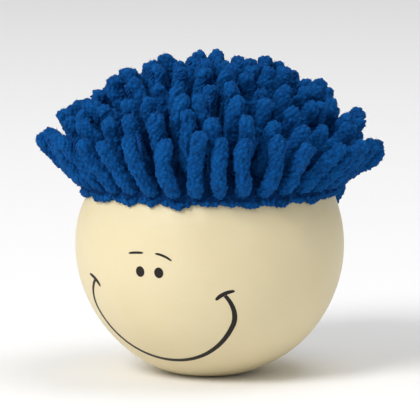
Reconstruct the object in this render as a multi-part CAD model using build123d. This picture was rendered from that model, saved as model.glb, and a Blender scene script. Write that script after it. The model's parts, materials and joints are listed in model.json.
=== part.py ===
from build123d import *
import os
from math import acos, atan, cos, degrees, exp, floor, pi, radians, sin, sqrt

# Mop-haired foam stress ball, in millimetres. The ball stands on its small flat base. +Z is up, the printed
# face looks along -Y, +X is to the right of someone who looks at the face, and the origin is the centre of
# the flat base.

# ball
BALL_DIAMETER = 64.0
BASE_FLAT_DIAMETER = 17.0
SKIN_THICKNESS = 0.3
# mop cap
BOND_GAP = 0.02
GLUE_THICKNESS = 0.48
GLUE_EDGE_MARGIN = 1.0
BACKING_THICKNESS = 1.0
HAIRLINE_LATITUDE = 24.0
# tufting stitches, run inside the backing cloth
STITCH_THREAD_DIAMETER = 0.4
CROWN_STITCH_RADIUS = 1.2
# chenille strands
STRAND_DIAMETER = 3.2
STRAND_GAP = 1.95
CORE_YARN_DIAMETER = 1.0
CORE_YARN_TIP_COVER = 1.6
ROW_EDGE_MARGIN = 2.2
STRAND_LENGTH = 14.6
CROWN_SHORTENING = 5.4
SIDE_SHORTENING = 1.6
LENGTH_SCATTER = 1.1
STRAIGHT_ROOT = 1.2
STRAND_BEND_RADIUS = 7.0
LEAST_BEND = 1.0  # in degrees
QUARTERED_ROWS = 4  # rows from the hairline up whose strands are kept in quarters of the head
HALVED_ROWS = 2  # rows above those that are kept in halves
# how the strands lean: angles and widths in degrees about the head, slopes in degrees above level, beats
# in waves to a full turn, and shifts in radians
PARTING_AZIMUTH = -70.0
PARTING_SLOPE = 80.0
PARTING_WIDTH = 32.0
SIDE_SLOPE = 47.0
FAN_ANGLE = 30.0
SWIRL_ANGLE = 22.0
SWIRL_BEATS = 3
SWIRL_SHIFT = 1.0
BACK_WAVE = 16.0
WAVE_BEATS = 5
WAVE_SHIFT = 0.8
DROOP_AZIMUTH = 8.0
DROOP_ANGLE = 16.0
DROOP_WIDTH = 16.0
CROWN_LIFT = 0.8  # how late a strand turns upright towards the crown, as a power
# how far each tip strays: in widths of the gap between strands, and as shares of that
TOUSLE_SHARE = 1.12
TOUSLE_MORE_BEHIND = 0.6
TOUSLE_AROUND = 0.8
TOUSLE_UPWARD = 0.9
LEAST_SPREAD = 0.35
SCATTER_START = 777
# loose strand that hangs over the ball
LOOSE_AZIMUTH = 40.0
LOOSE_SWEEP = 18.0
LOOSE_TIP_LATITUDE = 12.0
LOOSE_BULGE = 0.15  # share of the chord
LOOSE_ROOT_CLEARANCE = 0.15
LOOSE_TIP_CLEARANCE = 0.35
LOOSE_THREAD_DIAMETER = 0.6
LOOSE_THREAD_CLEARANCE = 0.05
LOOSE_LEG_CLEARANCE = 0.2
LOOSE_CORE_ROOT_COVER = 1.2
# printed ink
INK_THICKNESS = 0.08
EYE_WIDTH = 2.25
EYE_HEIGHT = 2.5
EYE_SPACING = 4.8
EYE_DROP = 2.8
BROW_LIFT = 4.4
BROW_INNER = 1.5
BROW_OUTER = 5.6
BROW_THICKNESS = 0.55
BROW_SHAPES = {-1: (0.35, 0.1), 1: (1.5, 0.35)}  # droop and arch by side
SMILE_RADIUS = 19.8
SMILE_CENTRE_DROP = 5.4
SMILE_HALF_ANGLE = 62.0
SMILE_END_RADIUS = 7.0
SMILE_END_ANGLE = 126.0
SMILE_TILT = -2.5
SMILE_STEPS = 36
SMILE_THICK = 0.95
SMILE_THIN = 0.75
SMILE_BOLD_AT = 0.84
SMILE_BOLD_SPREAD = 0.16
DIMPLE_LENGTH = 4.6
DIMPLE_THICKNESS = 0.85
DIMPLE_BOW = 0.2
ROSETTE_DROP = 8.0
ROSETTE_RING_RADIUS = 13.0
ROSETTE_RING_WIDTH = 0.9
ROSETTE_PETALS = 8
ROSETTE_PETAL_REACH = 6.7
ROSETTE_PETAL_LENGTH = 7.6
ROSETTE_PETAL_WIDTH = 3.5
ROSETTE_DISC_RADIUS = 1.8

# sizes that follow
BALL_RADIUS = BALL_DIAMETER / 2
CENTRE_HEIGHT = sqrt(BALL_RADIUS**2 - (BASE_FLAT_DIAMETER / 2) ** 2)
GLUE_INNER = BALL_RADIUS + BOND_GAP
GLUE_OUTER = GLUE_INNER + GLUE_THICKNESS
BACKING_OUTER = GLUE_OUTER + BACKING_THICKNESS
HAIRLINE_POLAR = 90 - HAIRLINE_LATITUDE
STRAND_RADIUS = STRAND_DIAMETER / 2
STRAND_PITCH = STRAND_DIAMETER + STRAND_GAP
LOOSE_THREAD_SPAN = STRAND_DIAMETER + LOOSE_THREAD_DIAMETER + 2 * LOOSE_LEG_CLEARANCE
LOOSE_LEG_LENGTH = 1.5 * STRAND_DIAMETER
CENTRE = Vector(0, 0, CENTRE_HEIGHT)
STANDING = (Align.CENTER, Align.CENTER, Align.MIN)
HANGING = (Align.CENTER, Align.CENTER, Align.MAX)


def scatter(number, channel):
    """A fixed, even spread of values from -1 to 1, one for each strand and channel."""
    spread = sin(number * 12.9898 + channel * 78.233) * 43758.5453
    return 2 * (spread - floor(spread)) - 1


def on_sphere(azimuth, latitude):
    """The unit vector that points to an azimuth and latitude, in degrees."""
    around, up = radians(azimuth), radians(latitude)
    return Vector(cos(up) * cos(around), cos(up) * sin(around), sin(up))


def strand_rows():
    """Rows of tufts, evenly spaced from the hairline to the crown: (polar angle in degrees, strands)."""
    lowest = radians(HAIRLINE_POLAR) - ROW_EDGE_MARGIN / BACKING_OUTER
    steps = floor(lowest * BACKING_OUTER / STRAND_PITCH)
    rows = []
    for step in range(steps):
        polar = lowest * (1 - step / steps)
        around = 2 * pi * BACKING_OUTER * sin(polar)
        rows.append((degrees(polar), floor(around / STRAND_PITCH)))
    return rows + [(0.0, 1)]


def away(azimuth, middle):
    """How far an azimuth is from another, from -180 to 180 degrees."""
    return (azimuth - middle + 180) % 360 - 180


def strand_lean(number, azimuth, latitude):
    """The direction a strand's tip points in: parted at the front, fanned to the sides, tousled behind."""
    turn = away(azimuth, PARTING_AZIMUTH)
    behind = 0.5 - 0.5 * cos(radians(turn))
    rise = (latitude - HAIRLINE_LATITUDE) / HAIRLINE_POLAR
    fan = FAN_ANGLE * sin(radians(2 * turn)) if abs(turn) < 90 else 0
    swirl = SWIRL_ANGLE * behind * sin(radians(SWIRL_BEATS * turn) + SWIRL_SHIFT)
    slope = SIDE_SLOPE + (PARTING_SLOPE - SIDE_SLOPE) * exp(-((turn / PARTING_WIDTH) ** 2))
    slope += BACK_WAVE * behind * sin(radians(WAVE_BEATS * turn) + WAVE_SHIFT)
    slope -= DROOP_ANGLE * exp(-((away(azimuth, DROOP_AZIMUTH) / DROOP_WIDTH) ** 2))
    slope += (90 - slope) * rise**CROWN_LIFT
    tousle = degrees(TOUSLE_SHARE * STRAND_GAP / STRAND_LENGTH) * (1 + TOUSLE_MORE_BEHIND * behind)
    swing = TOUSLE_AROUND * tousle / max(cos(radians(slope)), LEAST_SPREAD)
    heading = azimuth + (fan + swirl) * (1 - rise) + swing * scatter(number, 1)
    return on_sphere(heading, slope + TOUSLE_UPWARD * tousle * scatter(number, 2))


def strand_plan():
    """Every standing strand: row, place in the row, azimuth, root direction, tip direction and length."""
    plan = []
    number = SCATTER_START
    for row, (polar, count) in enumerate(strand_rows()):
        for place in range(count):
            number += 1
            azimuth = 360 * (place + 0.5 * (row % 2)) / count - 90
            rise = 1 - polar / HAIRLINE_POLAR
            sideness = abs(sin(radians(away(azimuth, PARTING_AZIMUTH)))) * (1 - rise)
            length = STRAND_LENGTH - CROWN_SHORTENING * rise - SIDE_SHORTENING * sideness
            length += LENGTH_SCATTER * scatter(number, 3)
            tip = strand_lean(number, azimuth, 90 - polar)
            plan.append((row, place, azimuth, on_sphere(azimuth, 90 - polar), tip, length))
    return plan


def bent_rod(radius, bend_angle, run, round_tip):
    """A round rod from the origin: a short root along +Z, a bend towards +X, then a straight run."""
    rod = Pos(0, 0, -radius) * Cylinder(radius, STRAIGHT_ROOT + radius, align=STANDING)
    axis = Axis((STRAND_BEND_RADIUS, 0, STRAIGHT_ROOT), (0, 1, 0))
    rod += revolve(Pos(0, 0, STRAIGHT_ROOT) * Circle(radius), axis, bend_angle)
    turn = radians(bend_angle)
    sideways, upward = STRAND_BEND_RADIUS * (1 - cos(turn)), STRAND_BEND_RADIUS * sin(turn)
    end = Pos(sideways, 0, STRAIGHT_ROOT + upward) * Rot(0, bend_angle, 0)
    rod += end * Cylinder(radius, run, align=STANDING)
    if round_tip:
        rod += end * Pos(0, 0, run) * Sphere(radius)
    return rod


def strand_solids(root, tip, length):
    """A standing strand's pile sleeve and core yarn, trimmed to the cap's outer surface."""
    bend = max(degrees(acos(max(-1.0, min(1.0, root.dot(tip))))), LEAST_BEND)
    run = length - STRAIGHT_ROOT - STRAND_BEND_RADIUS * radians(bend)
    sideways = tip - root * root.dot(tip)
    cap = Pos(0, 0, -BACKING_OUTER) * Sphere(BACKING_OUTER)
    core = bent_rod(CORE_YARN_DIAMETER / 2, bend, run - CORE_YARN_TIP_COVER, False) - cap
    pile = bent_rod(STRAND_RADIUS, bend, run, True) - cap - core
    place = Plane(origin=CENTRE + root * BACKING_OUTER, x_dir=sideways, z_dir=root).location
    return place * pile, place * core


def sector_name(row, azimuth):
    """The part of the head that a strand stands on: quarters low down, halves higher, whole at the top."""
    if row == len(strand_rows()) - 1:
        return "strand_crown"
    if row < QUARTERED_ROWS:
        quarter = ("right", "back", "left", "front")[floor((azimuth + 45) % 360 / 90)]
        return f"strands_row{row + 1}_{quarter}"
    if row < QUARTERED_ROWS + HALVED_ROWS:
        return f"strands_row{row + 1}_{'back' if 0 <= azimuth < 180 else 'front'}"
    return f"strands_row{row + 1}"


def strand_nodes():
    """Every standing strand and core yarn, grouped into named nodes, without the loose strand's place."""
    nodes = {}
    last = len(strand_rows()) - 1
    loose_place, _ = loose_root()
    for row, place, azimuth, root, tip, length in strand_plan():
        if row == 0 and place == loose_place:
            continue
        pile, core = strand_solids(root, tip, length)
        yarns = "core_yarn_crown" if row == last else f"core_yarns_row{row + 1}"
        nodes.setdefault(sector_name(row, azimuth), []).append(pile)
        nodes.setdefault(yarns, []).append(core)
    return nodes


def cap_shell(inner, outer, polar):
    """A spherical cap of even thickness about the ball's centre, down to a polar angle in degrees."""
    edge = Vector(sin(radians(polar)), 0, cos(radians(polar)))
    middle = Vector(sin(radians(polar / 2)), 0, cos(radians(polar / 2)))
    top = Vector(0, 0, 1)
    outline = [
        ThreePointArc(top * outer, middle * outer, edge * outer),
        Line(edge * outer, edge * inner),
        ThreePointArc(edge * inner, middle * inner, top * inner),
        Line(top * inner, top * outer),
    ]
    return Pos(CENTRE) * revolve(make_face(outline), Axis.Z)


def ball_nodes():
    """The foam core and the painted skin that closes round it."""
    core_radius = BALL_RADIUS - SKIN_THICKNESS
    above = Box(2 * BALL_DIAMETER, 2 * BALL_DIAMETER, 2 * BALL_DIAMETER, align=STANDING)
    core = Pos(CENTRE) * Sphere(core_radius) & Pos(0, 0, SKIN_THICKNESS) * above
    ball = Pos(CENTRE) * Sphere(BALL_RADIUS) & above
    return {"foam_core": [core], "painted_skin": [ball - core]}


def cap_nodes():
    """The glue, the backing cloth and the tufting threads that run in it, one ring for each row."""
    stitch_radius = STITCH_THREAD_DIAMETER / 2
    sphere = BACKING_OUTER - BACKING_THICKNESS / 2
    glue_polar = HAIRLINE_POLAR - degrees(GLUE_EDGE_MARGIN / GLUE_OUTER)
    backing = cap_shell(GLUE_OUTER, BACKING_OUTER, HAIRLINE_POLAR)
    nodes = {"glue_layer": [cap_shell(GLUE_INNER, GLUE_OUTER, glue_polar)]}
    rows = strand_rows()
    for row, (polar, _) in enumerate(rows):
        ring_radius = max(sphere * sin(radians(polar)), CROWN_STITCH_RADIUS)
        height = sqrt(sphere**2 - ring_radius**2)
        ring = Pos(0, 0, CENTRE_HEIGHT + height) * Torus(ring_radius, stitch_radius)
        backing -= ring
        name = "stitch_crown" if row == len(rows) - 1 else f"stitch_row{row + 1}"
        nodes[name] = [ring]
    nodes["backing_cloth"] = [backing]
    return nodes


def loose_root():
    """The lowest row's place nearest to the loose strand's azimuth, and that place's own azimuth."""
    _, count = strand_rows()[0]
    place = round(away(LOOSE_AZIMUTH, -90) * count / 360)
    return place, 360 * place / count - 90


def loose_frame():
    """The loose strand's place: its root centre, hinge axis, outward normal and the chord to its tip."""
    polar, _ = strand_rows()[0]
    _, azimuth = loose_root()
    outward = on_sphere(azimuth, 90 - polar)
    root = CENTRE + outward * (BACKING_OUTER + LOOSE_ROOT_CLEARANCE + STRAND_RADIUS)
    tip_reach = BALL_RADIUS + LOOSE_TIP_CLEARANCE + STRAND_RADIUS
    tip = CENTRE + on_sphere(azimuth + LOOSE_SWEEP, LOOSE_TIP_LATITUDE) * tip_reach
    chord = tip - root
    axis = chord.cross(outward).normalized()
    return root, axis, outward, chord


def loose_nodes():
    """The strand that hangs over the ball, its core yarn, and the thread loop that it swings on."""
    root, axis, outward, chord = loose_frame()
    half = degrees(2 * atan(2 * LOOSE_BULGE))
    bend_radius = chord.length / 2 / sin(radians(half))
    across = axis.cross(chord.normalized())
    start = chord.normalized() * cos(radians(half)) + across * sin(radians(half))
    inward = chord.normalized() * sin(radians(half)) - across * cos(radians(half))
    place = Plane(origin=root, x_dir=inward, z_dir=start).location
    bend = 2 * half
    spine = Axis((bend_radius, 0, 0), (0, 1, 0))
    turn = radians(bend)
    end = Pos(bend_radius * (1 - cos(turn)), 0, bend_radius * sin(turn))
    pile = Sphere(STRAND_RADIUS) + revolve(Circle(STRAND_RADIUS), spine, bend) + end * Sphere(STRAND_RADIUS)
    root_turn = degrees(LOOSE_CORE_ROOT_COVER / bend_radius)
    tip_turn = degrees(CORE_YARN_TIP_COVER / bend_radius)
    start_at = Pos(bend_radius, 0, 0) * Rot(0, root_turn, 0) * Pos(-bend_radius, 0, 0)
    core = revolve(start_at * Circle(CORE_YARN_DIAMETER / 2), spine, bend - root_turn - tip_turn)
    thread_radius = LOOSE_THREAD_DIAMETER / 2
    bore = Rot(90, 0, 0) * Cylinder(thread_radius + LOOSE_THREAD_CLEARANCE, 2 * STRAND_DIAMETER)
    pile = place * (pile - core - bore)
    upright = Plane(origin=root, x_dir=axis, z_dir=outward).location
    loop = Rot(0, 90, 0) * Cylinder(thread_radius, LOOSE_THREAD_SPAN)
    for side in (-1, 1):
        corner = Pos(side * LOOSE_THREAD_SPAN / 2, 0, 0)
        loop += corner * Sphere(thread_radius)
        loop += corner * Cylinder(thread_radius, LOOSE_LEG_LENGTH, align=HANGING)
    loop = upright * loop - Pos(CENTRE) * Sphere(BACKING_OUTER)
    return {"loose_strand": [pile], "loose_strand_core": [place * core], "loose_strand_thread": [loop]}


def stroke(points, widths):
    """A pen stroke as a face: two smooth edges either side of a line of points, with square ends."""
    left, right = [], []
    for index, (x, z) in enumerate(points):
        before = points[max(index - 1, 0)]
        after = points[min(index + 1, len(points) - 1)]
        run, lift = after[0] - before[0], after[1] - before[1]
        reach = widths[index] / 2 / sqrt(run**2 + lift**2)
        left.append((x - lift * reach, z + run * reach))
        right.append((x + lift * reach, z - run * reach))
    edges = [Spline(*left), Line(left[-1], right[-1]), Spline(*reversed(right)), Line(right[0], left[0])]
    return make_face(edges)


def smile_points():
    """The smile's line from its left end to its right: a wide arc that closes in at both ends."""
    points = []
    tilt = radians(SMILE_TILT)
    for step in range(SMILE_STEPS + 1):
        angle = SMILE_END_ANGLE * (2 * step / SMILE_STEPS - 1)
        on_end = abs(angle) > SMILE_HALF_ANGLE
        wide = radians(min(abs(angle), SMILE_HALF_ANGLE))
        turn = radians(abs(angle))
        reach = SMILE_RADIUS - SMILE_END_RADIUS if on_end else SMILE_RADIUS
        close = SMILE_END_RADIUS if on_end else 0
        x = (reach * sin(wide) + close * sin(turn)) * (1 if angle >= 0 else -1)
        z = -reach * cos(wide) - close * cos(turn) - SMILE_CENTRE_DROP
        points.append((x * cos(tilt) - z * sin(tilt), x * sin(tilt) + z * cos(tilt)))
    return points


def smile_widths():
    """The smile's pen widths from left to right: fine at the left and below, bold towards the right."""
    widths = []
    for step in range(SMILE_STEPS + 1):
        from_bold = (step / SMILE_STEPS - SMILE_BOLD_AT) / SMILE_BOLD_SPREAD
        widths.append(SMILE_THIN + (SMILE_THICK - SMILE_THIN) * exp(-(from_bold**2)))
    return widths


def dimple(end, beyond):
    """The short bowed tick across one end of the smile."""
    run, lift = end[0] - beyond[0], end[1] - beyond[1]
    scale = DIMPLE_LENGTH / 2 / sqrt(run**2 + lift**2)
    across = (-lift * scale, run * scale)
    bow = (run * scale * DIMPLE_BOW, lift * scale * DIMPLE_BOW)
    points = [
        (end[0] - across[0], end[1] - across[1]),
        (end[0] + bow[0], end[1] + bow[1]),
        (end[0] + across[0], end[1] + across[1]),
    ]
    return stroke(points, [DIMPLE_THICKNESS / 2, DIMPLE_THICKNESS, DIMPLE_THICKNESS / 2])


def ink(face, plane):
    """A film of ink on the ball, in the shape of a flat drawing that faces along the plane's normal."""
    film = Pos(CENTRE) * (Sphere(BALL_RADIUS + INK_THICKNESS) - Sphere(BALL_RADIUS))
    printed = plane.location * extrude(face, 2 * BALL_RADIUS) & film
    return list(printed.solids())


def brow(side):
    """One brow: nearly flat over the left eye, arched and drooping outward over the right one."""
    droop, arch = BROW_SHAPES[side]
    level = BROW_LIFT - EYE_DROP
    inner, outer = side * BROW_INNER, side * BROW_OUTER
    points = [(inner, level), ((inner + outer) / 2, level - droop / 2 + arch), (outer, level - droop)]
    return stroke(points, [BROW_THICKNESS / 2, BROW_THICKNESS, BROW_THICKNESS / 2])


def face_nodes():
    """The printed face: two eyes, two brows, the smile and a dimple at each end of it."""
    plane = Plane(origin=CENTRE, x_dir=(1, 0, 0), z_dir=(0, -1, 0))
    eye = Ellipse(EYE_WIDTH / 2, EYE_HEIGHT / 2)
    line = smile_points()
    smile = stroke(line, smile_widths())
    return {
        "eye_left": ink(Pos(-EYE_SPACING / 2, -EYE_DROP) * eye, plane),
        "eye_right": ink(Pos(EYE_SPACING / 2, -EYE_DROP) * eye, plane),
        "brow_left": ink(brow(-1), plane),
        "brow_right": ink(brow(1), plane),
        "smile": ink(smile, plane),
        "dimple_left": ink(dimple(line[0], line[2]) - smile, plane),
        "dimple_right": ink(dimple(line[-1], line[-3]) - smile, plane),
    }


def rosette_node():
    """A plain eight-petalled rosette in a ring, printed on the back."""
    plane = Plane(origin=CENTRE, x_dir=(-1, 0, 0), z_dir=(0, 1, 0))
    middle = Pos(0, -ROSETTE_DROP)
    ring = Circle(ROSETTE_RING_RADIUS) - Circle(ROSETTE_RING_RADIUS - ROSETTE_RING_WIDTH)
    faces = [middle * ring, middle * Circle(ROSETTE_DISC_RADIUS)]
    for petal in range(ROSETTE_PETALS):
        turned = Rot(0, 0, 360 * petal / ROSETTE_PETALS) * Pos(0, ROSETTE_PETAL_REACH)
        faces.append(middle * turned * Ellipse(ROSETTE_PETAL_WIDTH / 2, ROSETTE_PETAL_LENGTH / 2))
    return {"back_rosette": [piece for face in faces for piece in ink(face, plane)]}


def write(nodes):
    """Writes each node to its own file, as one solid or as a group of separate solids."""
    os.makedirs("parts", exist_ok=True)
    for name, pieces in nodes.items():
        solids = [solid for piece in pieces for solid in piece.solids()]
        export_step(solids[0] if len(solids) == 1 else Compound(children=solids), f"parts/{name}.step")


write(ball_nodes() | face_nodes() | rosette_node() | cap_nodes() | strand_nodes() | loose_nodes())
pivot, hinge, _, _ = loose_frame()
print("loose strand pivot", [round(v, 4) for v in pivot], "axis", [round(v, 6) for v in hinge])
print("ball centre height", round(CENTRE_HEIGHT, 4), "strands", len(strand_plan()))
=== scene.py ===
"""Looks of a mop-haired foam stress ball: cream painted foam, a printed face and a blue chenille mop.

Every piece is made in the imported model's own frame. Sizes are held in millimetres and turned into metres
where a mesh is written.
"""

import json
import logging
import math
from dataclasses import dataclass, field
from enum import Enum

import bmesh
import bpy
import numpy as np
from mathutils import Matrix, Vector
from mathutils.kdtree import KDTree

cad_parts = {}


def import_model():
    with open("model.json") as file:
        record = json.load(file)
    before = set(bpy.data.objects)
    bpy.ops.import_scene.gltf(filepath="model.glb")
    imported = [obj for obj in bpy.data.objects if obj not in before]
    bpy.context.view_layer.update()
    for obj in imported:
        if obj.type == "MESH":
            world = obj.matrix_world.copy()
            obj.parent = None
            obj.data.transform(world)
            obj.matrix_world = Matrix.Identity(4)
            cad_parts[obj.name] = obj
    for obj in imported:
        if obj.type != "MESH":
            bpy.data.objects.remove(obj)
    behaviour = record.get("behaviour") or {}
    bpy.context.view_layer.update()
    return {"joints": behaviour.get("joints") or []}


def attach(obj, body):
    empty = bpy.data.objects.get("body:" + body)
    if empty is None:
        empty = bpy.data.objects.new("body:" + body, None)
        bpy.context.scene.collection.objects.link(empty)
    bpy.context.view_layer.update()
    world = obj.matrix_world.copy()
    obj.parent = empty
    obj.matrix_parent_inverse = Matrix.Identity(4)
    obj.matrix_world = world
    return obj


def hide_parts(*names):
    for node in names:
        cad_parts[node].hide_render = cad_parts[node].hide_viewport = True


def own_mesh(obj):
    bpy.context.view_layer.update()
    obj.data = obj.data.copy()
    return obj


MM = 0.001
GOLDEN_TURN = math.pi * (3 - math.sqrt(5))
LOG = logging.getLogger("stress_ball")

Colour = tuple[float, float, float]


class Side(Enum):
    """Which way a print faces."""

    FRONT = -1
    BACK = 1


class Quarter(Enum):
    """The quarters of the head that the lower rows of strands are kept in."""

    RIGHT = "right"
    BACK = "back"
    LEFT = "left"
    FRONT = "front"


def unit(azimuth: float, latitude: float) -> np.ndarray:
    """The unit vector that points to an azimuth and latitude in degrees."""
    around, up = math.radians(azimuth), math.radians(latitude)
    return np.array([math.cos(up) * math.cos(around), math.cos(up) * math.sin(around), math.sin(up)])


def normalised(vectors: np.ndarray) -> np.ndarray:
    """Vectors scaled to length one, along the last axis."""
    return vectors / np.maximum(np.linalg.norm(vectors, axis=-1, keepdims=True), 1e-12)


def smoothstep(values: np.ndarray) -> np.ndarray:
    """An even rise from 0 to 1 for values from 0 to 1."""
    clipped = np.clip(values, 0, 1)
    return clipped * clipped * (3 - 2 * clipped)


def ripple(points: np.ndarray, wavelength: float, seed: int, waves: int = 9) -> np.ndarray:
    """Smooth noise of about one size, as a sum of waves that run in fixed scattered directions.

    Args:
        points: places in millimetres, one row each.
        wavelength: the size of the noise's patches in millimetres.
        seed: picks the directions.
        waves: how many waves are summed.

    Returns:
        One value for each place, mostly from -1 to 1.
    """
    draw = np.random.default_rng(seed)
    directions = normalised(draw.normal(size=(waves, 3))) * draw.uniform(0.7, 1.4, (waves, 1))
    phases = draw.uniform(0, 2 * math.pi, waves)
    return np.sin(points @ directions.T * (2 * math.pi / wavelength) + phases).sum(1) / math.sqrt(waves)


@dataclass
class Shape:
    """Points in millimetres, faces that index them, and named values at the points."""

    points: np.ndarray
    faces: list[np.ndarray]
    values: dict[str, np.ndarray] = field(default_factory=dict)

    @staticmethod
    def joined(shapes: list["Shape"]) -> "Shape":
        """Several shapes as one."""
        faces, count = [], 0
        for shape in shapes:
            faces += [block + count for block in shape.faces]
            count += len(shape.points)
        names = shapes[0].values
        values = {name: np.concatenate([shape.values[name] for shape in shapes]) for name in names}
        return Shape(np.concatenate([shape.points for shape in shapes]), faces, values)

    def to_object(self, name: str) -> bpy.types.Object:
        """Writes the shape as a smooth-shaded mesh object.

        Args:
            name: the object's and the mesh's name.

        Returns:
            The new object, linked to the scene.
        """
        mesh = bpy.data.meshes.new(name)
        corners = np.concatenate([block.ravel() for block in self.faces]).astype(np.int32)
        sizes = np.concatenate([np.full(len(block), block.shape[1], np.int32) for block in self.faces])
        starts = np.concatenate([[0], np.cumsum(sizes)[:-1]]).astype(np.int32)
        mesh.vertices.add(len(self.points))
        mesh.vertices.foreach_set("co", (self.points * MM).astype(np.float32).ravel())
        mesh.loops.add(len(corners))
        mesh.loops.foreach_set("vertex_index", corners)
        mesh.polygons.add(len(sizes))
        mesh.polygons.foreach_set("loop_start", starts)
        mesh.update(calc_edges=True)
        mesh.validate()
        mesh.polygons.foreach_set("use_smooth", np.ones(len(mesh.polygons), bool))
        for key, values in self.values.items():
            layer = mesh.attributes.new(key, "FLOAT", "POINT")
            layer.data.foreach_set("value", values.astype(np.float32))
        obj = bpy.data.objects.new(name, mesh)
        bpy.context.scene.collection.objects.link(obj)
        return obj


def ring_quads(rings: int, segments: int, closed_rings: bool = False) -> np.ndarray:
    """Quads of a grid whose rows are closed rings.

    Args:
        rings: how many rings there are.
        segments: points in each ring.
        closed_rings: also joins the last ring to the first.

    Returns:
        Corner numbers, four to a row.
    """
    ring = np.arange(rings if closed_rings else rings - 1)[:, None]
    along = np.arange(segments)[None, :]
    after, beside = (ring + 1) % rings, (along + 1) % segments
    quads = np.stack([ring * segments + along, ring * segments + beside,
                      after * segments + beside, after * segments + along], axis=-1)
    return quads.reshape(-1, 4)


def fan(ring_start: int, segments: int, pole: int, outward: bool) -> np.ndarray:
    """Triangles that close one ring onto a pole point."""
    along = ring_start + np.arange(segments)
    beside = ring_start + (np.arange(segments) + 1) % segments
    poles = np.full(segments, pole)
    return np.stack([along, beside, poles] if outward else [beside, along, poles], axis=-1)


def carried_frames(line: np.ndarray, reference: np.ndarray) -> tuple[np.ndarray, np.ndarray, np.ndarray]:
    """Tangents and two crossways directions at each point of a line.

    Args:
        line: points of the line.
        reference: a direction that stays crossways to the line.

    Returns:
        Tangents, first and second crossways directions, one row for each point.
    """
    tangents = normalised(np.gradient(line, axis=0))
    first = normalised(reference - tangents * (tangents @ reference)[:, None])
    return tangents, first, np.cross(tangents, first)


@dataclass(frozen=True)
class BallForm:
    """The ball's outer surface: a slightly full sphere with soft dents and a small flat base."""

    diameter: float = 64.0
    base_flat: float = 17.0
    skin: float = 0.3
    fullness: float = 0.006
    base_softness: float = 0.35
    base_step: float = 0.02  # share of a depth under the surface that is kept at the base
    dent_depth: float = 0.10
    dent_size: float = 26.0
    collar_depth: float = 0.28
    collar_latitude: float = 20.0
    collar_width: float = 4.5
    collar_pucker: float = 9.0

    @property
    def radius(self) -> float:
        """The sphere's radius."""
        return self.diameter / 2

    @property
    def centre(self) -> np.ndarray:
        """The sphere's centre above the base."""
        return np.array([0, 0, math.sqrt(self.radius**2 - (self.base_flat / 2) ** 2)])

    def surface(self, directions: np.ndarray, lift: float = 0.0) -> np.ndarray:
        """Points on the ball, or just off it.

        Args:
            directions: unit vectors from the ball's centre.
            lift: how far outside the surface the points are.

        Returns:
            The points in millimetres.
        """
        latitude = np.degrees(np.arcsin(np.clip(directions[:, 2], -1, 1)))
        below = np.clip(-directions[:, 2], 0, 1)
        belly = self.fullness * self.radius * below * (1 - below)
        dents = self.dent_depth * ripple(directions * self.radius, self.dent_size, 11)
        near = np.exp(-(((latitude - self.collar_latitude) / self.collar_width) ** 2))
        pucker = 0.5 + 0.5 * ripple(directions * self.radius, self.collar_pucker, 12)
        reach = self.radius + belly + dents - self.collar_depth * near * np.clip(pucker, 0, 1) + lift
        points = directions * reach[:, None] + self.centre
        settled = (points[:, 2] + np.sqrt(points[:, 2] ** 2 + self.base_softness**2)) / 2
        points[:, 2] = settled + min(lift, 0) * self.base_step
        return points


@dataclass(frozen=True)
class Squeeze:
    """The squeeze joint's travel, shared by every soft piece, and the share of its height that the ball
    keeps.

    The mop's body is rigid, so its travel is right at one height only: the loose strand's hinge.
    """

    joint: str
    travel: float
    mop_height: float

    @property
    def keep(self) -> float:
        """The share of its height that the ball keeps at full squeeze."""
        return 1 - self.travel / self.mop_height

    def flatten(self, obj: bpy.types.Object, body: str) -> None:
        """Rides a finished mesh on its body and gives it a mesh of its own.

        Args:
            obj: the piece.
            body: the CAD body that it rides on.
        """
        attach(obj, body)
        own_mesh(obj)


@dataclass(frozen=True)
class Strand:
    """One chenille strand: its place in the rows, root and tip directions, and length."""

    number: int
    row: int
    place: int
    azimuth: float
    root: np.ndarray
    lean: np.ndarray
    length: float


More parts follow.
